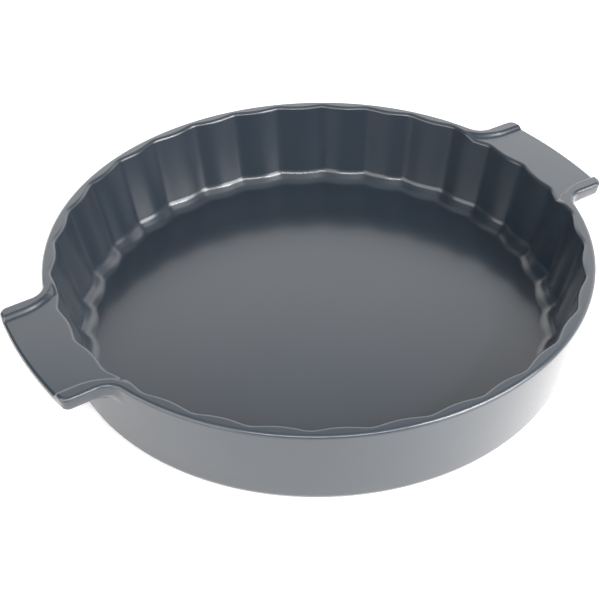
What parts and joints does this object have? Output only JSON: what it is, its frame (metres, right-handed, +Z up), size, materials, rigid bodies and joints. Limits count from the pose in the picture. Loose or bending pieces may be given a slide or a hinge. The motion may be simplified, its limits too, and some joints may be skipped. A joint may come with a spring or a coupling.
{
  "type": "pie dish",
  "caption": "Round stoneware baking dish with a fluted inner wall, a smooth outer wall, an unglazed foot ring and two flat handles that grow out of the rim between raised ridges.",
  "frame": {"origin": "on the table, under the middle of the dish", "axes": "+X along the line of the two handles, +Y across it, +Z up out of the dish's mouth"},
  "size_m": [0.3444, 0.2992, 0.0538],
  "materials": {
    "slate_glaze": "satin slate-grey glaze over stoneware",
    "bare_stoneware": "matt, unglazed"
  },
  "bodies": {
    "root": {"foot_ring": "bare_stoneware", "dish_floor": "slate_glaze", "fluted_wall": "slate_glaze", "handle_right": "slate_glaze", "handle_left": "slate_glaze"}
  },
  "joints": []
}
